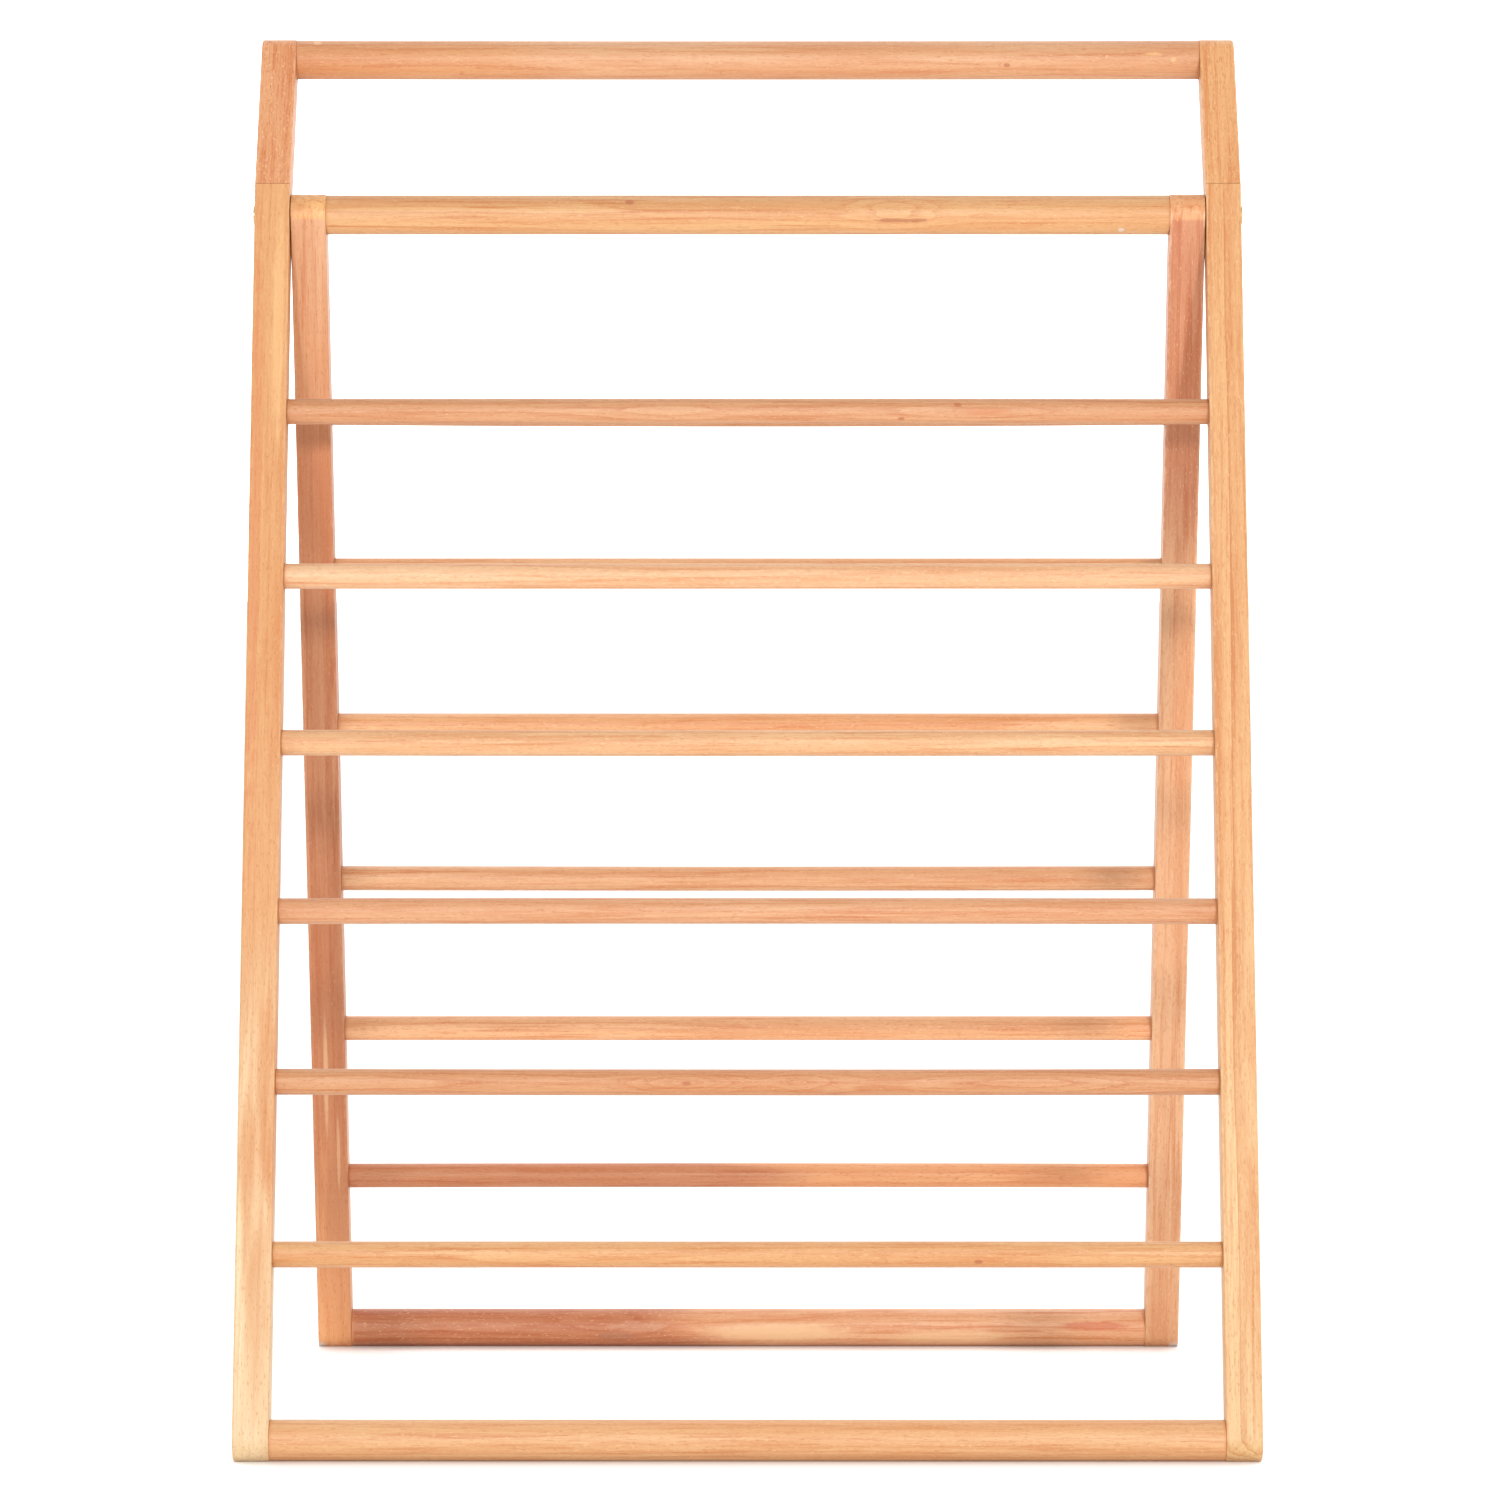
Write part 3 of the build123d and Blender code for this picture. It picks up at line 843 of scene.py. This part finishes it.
def rail_woods():
    """The boards of the handle bar and the rails, each with the figure it shows."""
    return {
        "handle_bar": bar_teak(
            "handle_bar", 7, (223, 167, 125), pith=(4, -38), tilt=(10, 12), spacing=8,
            contrast=0.3, wander=7, blotch=0.8,
            fades=((-0.14, -0.22, (220, 157, 109)),),
            marks=(((-4, 13.5, 186), (2.0, 4, 3.2), KNOT, 1.0, 0.4),
                   ((2, 13, 258), (1.6, 3, 1.2), CHIP, 0.9, 0.6),
                   ((4, 13, 292), (1.4, 3, 9), CHIP, 0.7, 0.9),
                   ((0, 13, 306), (2.2, 3, 3), CHIP, 0.8, 0.9),
                   ((12, 7, -310), (2.5, 4, 4), SAP, 0.9, 0.8),
                   ((-10, 10, -206), (2.5, 4, 2.2), (206, 126, 90), 0.8, 0.5))),
        "front_bottom_rail": bar_teak(
            "front_bottom_rail", 8, (236, 180, 130), pith=(20, -60), tilt=(6, 10), spacing=7,
            contrast=0.3, wander=5),
        "rear_top_rail": bar_teak(
            "rear_top_rail", 9, (224, 170, 119), pith=(-8, -26), tilt=(14, 0), spacing=4.6,
            contrast=0.5, wander=7,
            eyes=(((4, 12, 104), (9, 20, 26), 10.0),),
            marks=(((9, 11, -84), (2.6, 5, 4.2), KNOT, 1.0, 0.5),
                   ((-4, 13, 108), (1.8, 6, 26), (170, 92, 52), 0.9, 1.6),
                   ((-11, 10, 265), (2.5, 4, 3), SCUFF, 0.8, 1.0),
                   ((-10, 10, 300), (3, 4, 1.6), SCUFF, 0.8, 1.0))),
        "rear_bottom_rail": bar_teak(
            "rear_bottom_rail", 10, (241, 183, 142), pith=(-30, -20), tilt=(10, 8), spacing=6,
            contrast=0.7, wander=9, streaks=0.7, blotch=0.6,
            eyes=(((4, 12, -110), (10, 16, 34), 8.0),),
            fades=((0.0, -0.07, (207, 135, 96)),),
            marks=(((-2, 14, 24), (10, 12, 70), SAP, 1.0, 0.6),
                   ((-6, 14, 150), (8, 12, 60), SAP, 0.8, 0.6),
                   ((3, 13, 262), (4.5, 8, 34), (214, 108, 64), 0.9, 0.9),
                   ((-5, 13, -100), (5, 8, 20), (178, 122, 96), 0.6, 1.6),
                   ((2, 13, -84), (5, 8, 26), (226, 170, 140), 0.5, 1.8))),
    }


# Average tone of each rung
RUNG_TONES = {
    "front_rung_1": (231, 175, 123),
    "front_rung_2": (218, 158, 114),
    "front_rung_3": (225, 168, 127),
    "front_rung_4": (234, 184, 139),
    "front_rung_5": (239, 192, 152),
    "front_rung_6": (217, 160, 118),
    "rear_rung_1": (216, 146, 105),
    "rear_rung_2": (252, 190, 142),
    "rear_rung_3": (228, 173, 130),
    "rear_rung_4": (236, 178, 130),
    "rear_rung_5": (231, 175, 127),
    "rear_rung_6": (227, 170, 125),
}

# Rungs whose figure stands out: where branches pushed the rings out, and small knots
RUNG_FIGURE = {
    "front_rung_1": dict(contrast=0.5, marks=(((-4, 8, 158), (2.0, 4, 3.8), KNOT, 1.0, 0.4),)),
    "front_rung_2": dict(pith=(2, -24), spacing=2.6, contrast=0.6, wander=6,
                         eyes=(((1, 9, -42), (7, 16, 34), 9.0),
                               ((1, 9, 36), (7, 16, 24), 5.0),
                               ((0, 9, 200), (7, 16, 60), 5.0)),
                         marks=(((0, 8, -42), (2.0, 4, 5), KNOT, 1.0, 0.4),)),
    "front_rung_3": dict(contrast=0.5, spacing=4.0),
    "front_rung_6": dict(pith=(-3, -20), spacing=4.0, contrast=0.5,
                         eyes=(((0, 9, 160), (6, 14, 60), 6.0),
                               ((0, 9, -56), (6, 14, 50), 5.0)),
                         marks=(((5, 8, 148), (2.2, 4, 3.6), KNOT, 1.0, 0.4),
                                ((-5, 8, 108), (2.0, 4, 3.2), KNOT, 1.0, 0.4),
                                ((0, 9, 170), (3.5, 5, 22), (214, 134, 88), 0.7, 0.8))),
    "rear_rung_1": dict(contrast=0.6, spacing=3.4, blotch=0.8, fades=((-0.04, 0.1, (250, 186, 137)),)),
    "rear_rung_2": dict(pith=(4, -22), contrast=0.5, spacing=4.4),
}
FIRST_RUNG_SEED = {"front": 20, "rear": 30}


def rung_woods():
    """The rungs' boards; the seed also sets where the pith lies and how it slants."""
    woods = {}
    for name, tone in RUNG_TONES.items():
        frame_name, _, number = name.split("_")
        seed = FIRST_RUNG_SEED[frame_name] + int(number) - 1
        pith = (6 - seed % 5 * 3, -26 - seed % 3 * 9)
        tilt = (8 - seed % 4 * 5, 14 - seed % 7 * 4)
        facts = dict(pith=pith, tilt=tilt, spacing=5.0, contrast=0.55, wander=5)
        facts.update(RUNG_FIGURE.get(name, {}))
        woods[name] = bar_teak(name, seed, tone, **facts)
    return woods


# ---------------------------------------------------------------- metal and small parts

TURNED_SCALE = (600, 600, 3600)
TARNISH_SCALE = (420, 420, 420)
NYLON_SCALE = (1500, 1500, 1500)
BEECH_SCALE = (900, 900, 120)
DULLNESS = 0.72                # tone of the tarnish against the bright metal
TARNISH_SHARE = 0.45
TURNING_ROUGHNESS = 0.2
TURNING_RELIEF = 0.03 * MM
MOULDED_RELIEF = 0.05 * MM
SMALL_PART_BUMP = 0.2


def metal(name, colour, roughness):
    """Plated metal with fine turning marks and a little tarnish."""
    s = Shader(name)
    turned = s.noise(s.vector("MULTIPLY", s.local, TURNED_SCALE), 3.0, 0.6)
    tarnish = s.spread(s.noise(s.vector("MULTIPLY", s.local, TARNISH_SCALE), 3.0, 0.6), 0.4, 0.7)
    dull = [DULLNESS * channel for channel in colour]
    plated = s.mix(s.math("MULTIPLY", tarnish, TARNISH_SHARE), linear(colour), linear(dull))
    s.feed(s.bsdf.inputs["Base Color"], plated)
    s.bsdf.inputs["Metallic"].default_value = 1.0
    rough = s.math("MULTIPLY_ADD", turned, TURNING_ROUGHNESS, roughness - TURNING_ROUGHNESS / 2)
    s.feed(s.bsdf.inputs["Roughness"], rough)
    s.bump(turned, SMALL_PART_BUMP, TURNING_RELIEF)
    return s.material


def nylon(name, colour):
    """Dark moulded nylon for the washers."""
    s = Shader(name)
    grain = s.noise(s.vector("MULTIPLY", s.local, NYLON_SCALE))
    darker = [0.8 * channel for channel in colour]
    s.feed(s.bsdf.inputs["Base Color"], s.mix(grain, linear(colour), linear(darker)))
    s.feed(s.bsdf.inputs["Roughness"], s.math("MULTIPLY_ADD", grain, 0.2, 0.45))
    s.bump(grain, SMALL_PART_BUMP, MOULDED_RELIEF)
    return s.material


def dowel_wood(name):
    """Pale beech with short flecks, for the hidden dowels."""
    s = Shader(name)
    fleck = s.spread(s.noise(s.vector("MULTIPLY", s.local, BEECH_SCALE), 3.0, 0.6), 0.4, 0.7)
    s.feed(s.bsdf.inputs["Base Color"], s.mix(fleck, linear((226, 190, 150)), linear((198, 152, 108))))
    s.bsdf.inputs["Roughness"].default_value = 0.6
    s.bump(fleck, SMALL_PART_BUMP, MOULDED_RELIEF)
    return s.material


def paint(piece, material):
    """Give a piece or a CAD node's object one material."""
    piece.data.materials.clear()
    piece.data.materials.append(material)


# ---------------------------------------------------------------- stage

def soft_box(name, x, y, power):
    """A soft box standing upright and turned to the rack."""
    data = bpy.data.lights.new(name, "AREA")
    data.shape = "RECTANGLE"
    data.size, data.size_y = BOX_SIZE
    data.energy = power
    light = bpy.data.objects.new(name, data)
    light.location = (x, y, BOX_HEIGHT)
    light.rotation_euler = Vector((-x, -y, 0)).to_track_quat("-Z", "Y").to_euler()
    light.visible_camera = False
    bpy.context.scene.collection.objects.link(light)


def build_surround():
    """A surround that lights most from behind the rack, as a backdrop does, and shows as plain white."""
    world = bpy.data.worlds.new("surround")
    world.use_nodes = True
    nodes, links = world.node_tree.nodes, world.node_tree.links
    direction = nodes.new("ShaderNodeTexCoord")
    parts = nodes.new("ShaderNodeSeparateXYZ")
    strength = nodes.new("ShaderNodeMapRange")
    strength.interpolation_type = "SMOOTHSTEP"
    for socket, value in zip(strength.inputs[1:5], (*SURROUND_TURN, SURROUND_FRONT, SURROUND_BACK)):
        socket.default_value = value
    links.new(direction.outputs["Generated"], parts.inputs[0])
    links.new(parts.outputs["Y"], strength.inputs[0])
    seen = nodes.new("ShaderNodeLightPath").outputs["Is Camera Ray"]
    level = nodes.new("ShaderNodeMath")
    level.operation = "MAXIMUM"
    links.new(strength.outputs[0], level.inputs[0])
    links.new(seen, level.inputs[1])
    background = nodes["Background"]
    background.inputs[0].default_value = (1, 1, 1, 1)
    links.new(level.outputs[0], background.inputs[1])
    bpy.context.scene.world = world


def build_stage():
    """Plain pale floor, soft light from both front sides, and a white surround."""
    bm = bmesh.new()
    bmesh.ops.create_grid(bm, x_segments=1, y_segments=1, size=FLOOR_SIZE)
    floor = finish_mesh("floor", bm, Matrix.Identity(4))
    s = Shader("pale_floor")
    darker, lighter = [(tone, tone, tone, 1) for tone in FLOOR_TONES]
    cloud = s.noise(s.vector("MULTIPLY", s.local, (3, 3, 3)))
    s.feed(s.bsdf.inputs["Base Color"], s.mix(cloud, darker, lighter))
    s.bsdf.inputs["Roughness"].default_value = 0.9
    s.bsdf.inputs["Specular IOR Level"].default_value = 0.1
    paint(floor, s.material)

    soft_box("box_left", *LEFT_BOX)
    soft_box("box_right", *RIGHT_BOX)

    build_surround()
    bpy.context.scene.view_settings.view_transform = "Standard"


def build_camera():
    """Camera at the photograph's viewing angle."""
    data = bpy.data.cameras.new("camera")
    data.sensor_fit = "HORIZONTAL"
    data.sensor_width = 36.0
    data.lens = CAMERA_LENS
    data.clip_end = 100.0
    camera = bpy.data.objects.new("camera", data)
    camera.location = CAMERA_AT
    camera.rotation_euler = Euler((math.radians(90 - CAMERA_TILT), 0, math.radians(CAMERA_TURN)))
    bpy.context.scene.collection.objects.link(camera)
    bpy.context.scene.camera = camera


# ---------------------------------------------------------------- assembly


def body_of(node):
    """The body that a CAD node belongs to."""
    return next(name for name, nodes in frame["record"]["behaviour"]["bodies"].items() if node in nodes)


build_camera()
build_stage()
pieces = {**build_stiles(), **build_bars(), **build_bolts()}
woods = {**stile_woods(), **rail_woods(), **rung_woods()}
brass = metal("brass_plate", (222, 196, 138), 0.42)
steel = metal("zinc_steel", (178, 178, 176), 0.4)
for node, piece in pieces.items():
    paint(piece, woods.get(node, brass))
    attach(piece, body_of(node))
hidden = {"seam_dowels": dowel_wood("beech_dowel"), "stop_pin": steel, "threaded_insert": brass,
          "pivot_washer": nylon("nylon_washer", (62, 50, 42))}
for stem, material in hidden.items():
    for side_name in SIDES:
        paint(frame["nodes"][f"{stem}_{side_name}"], material)
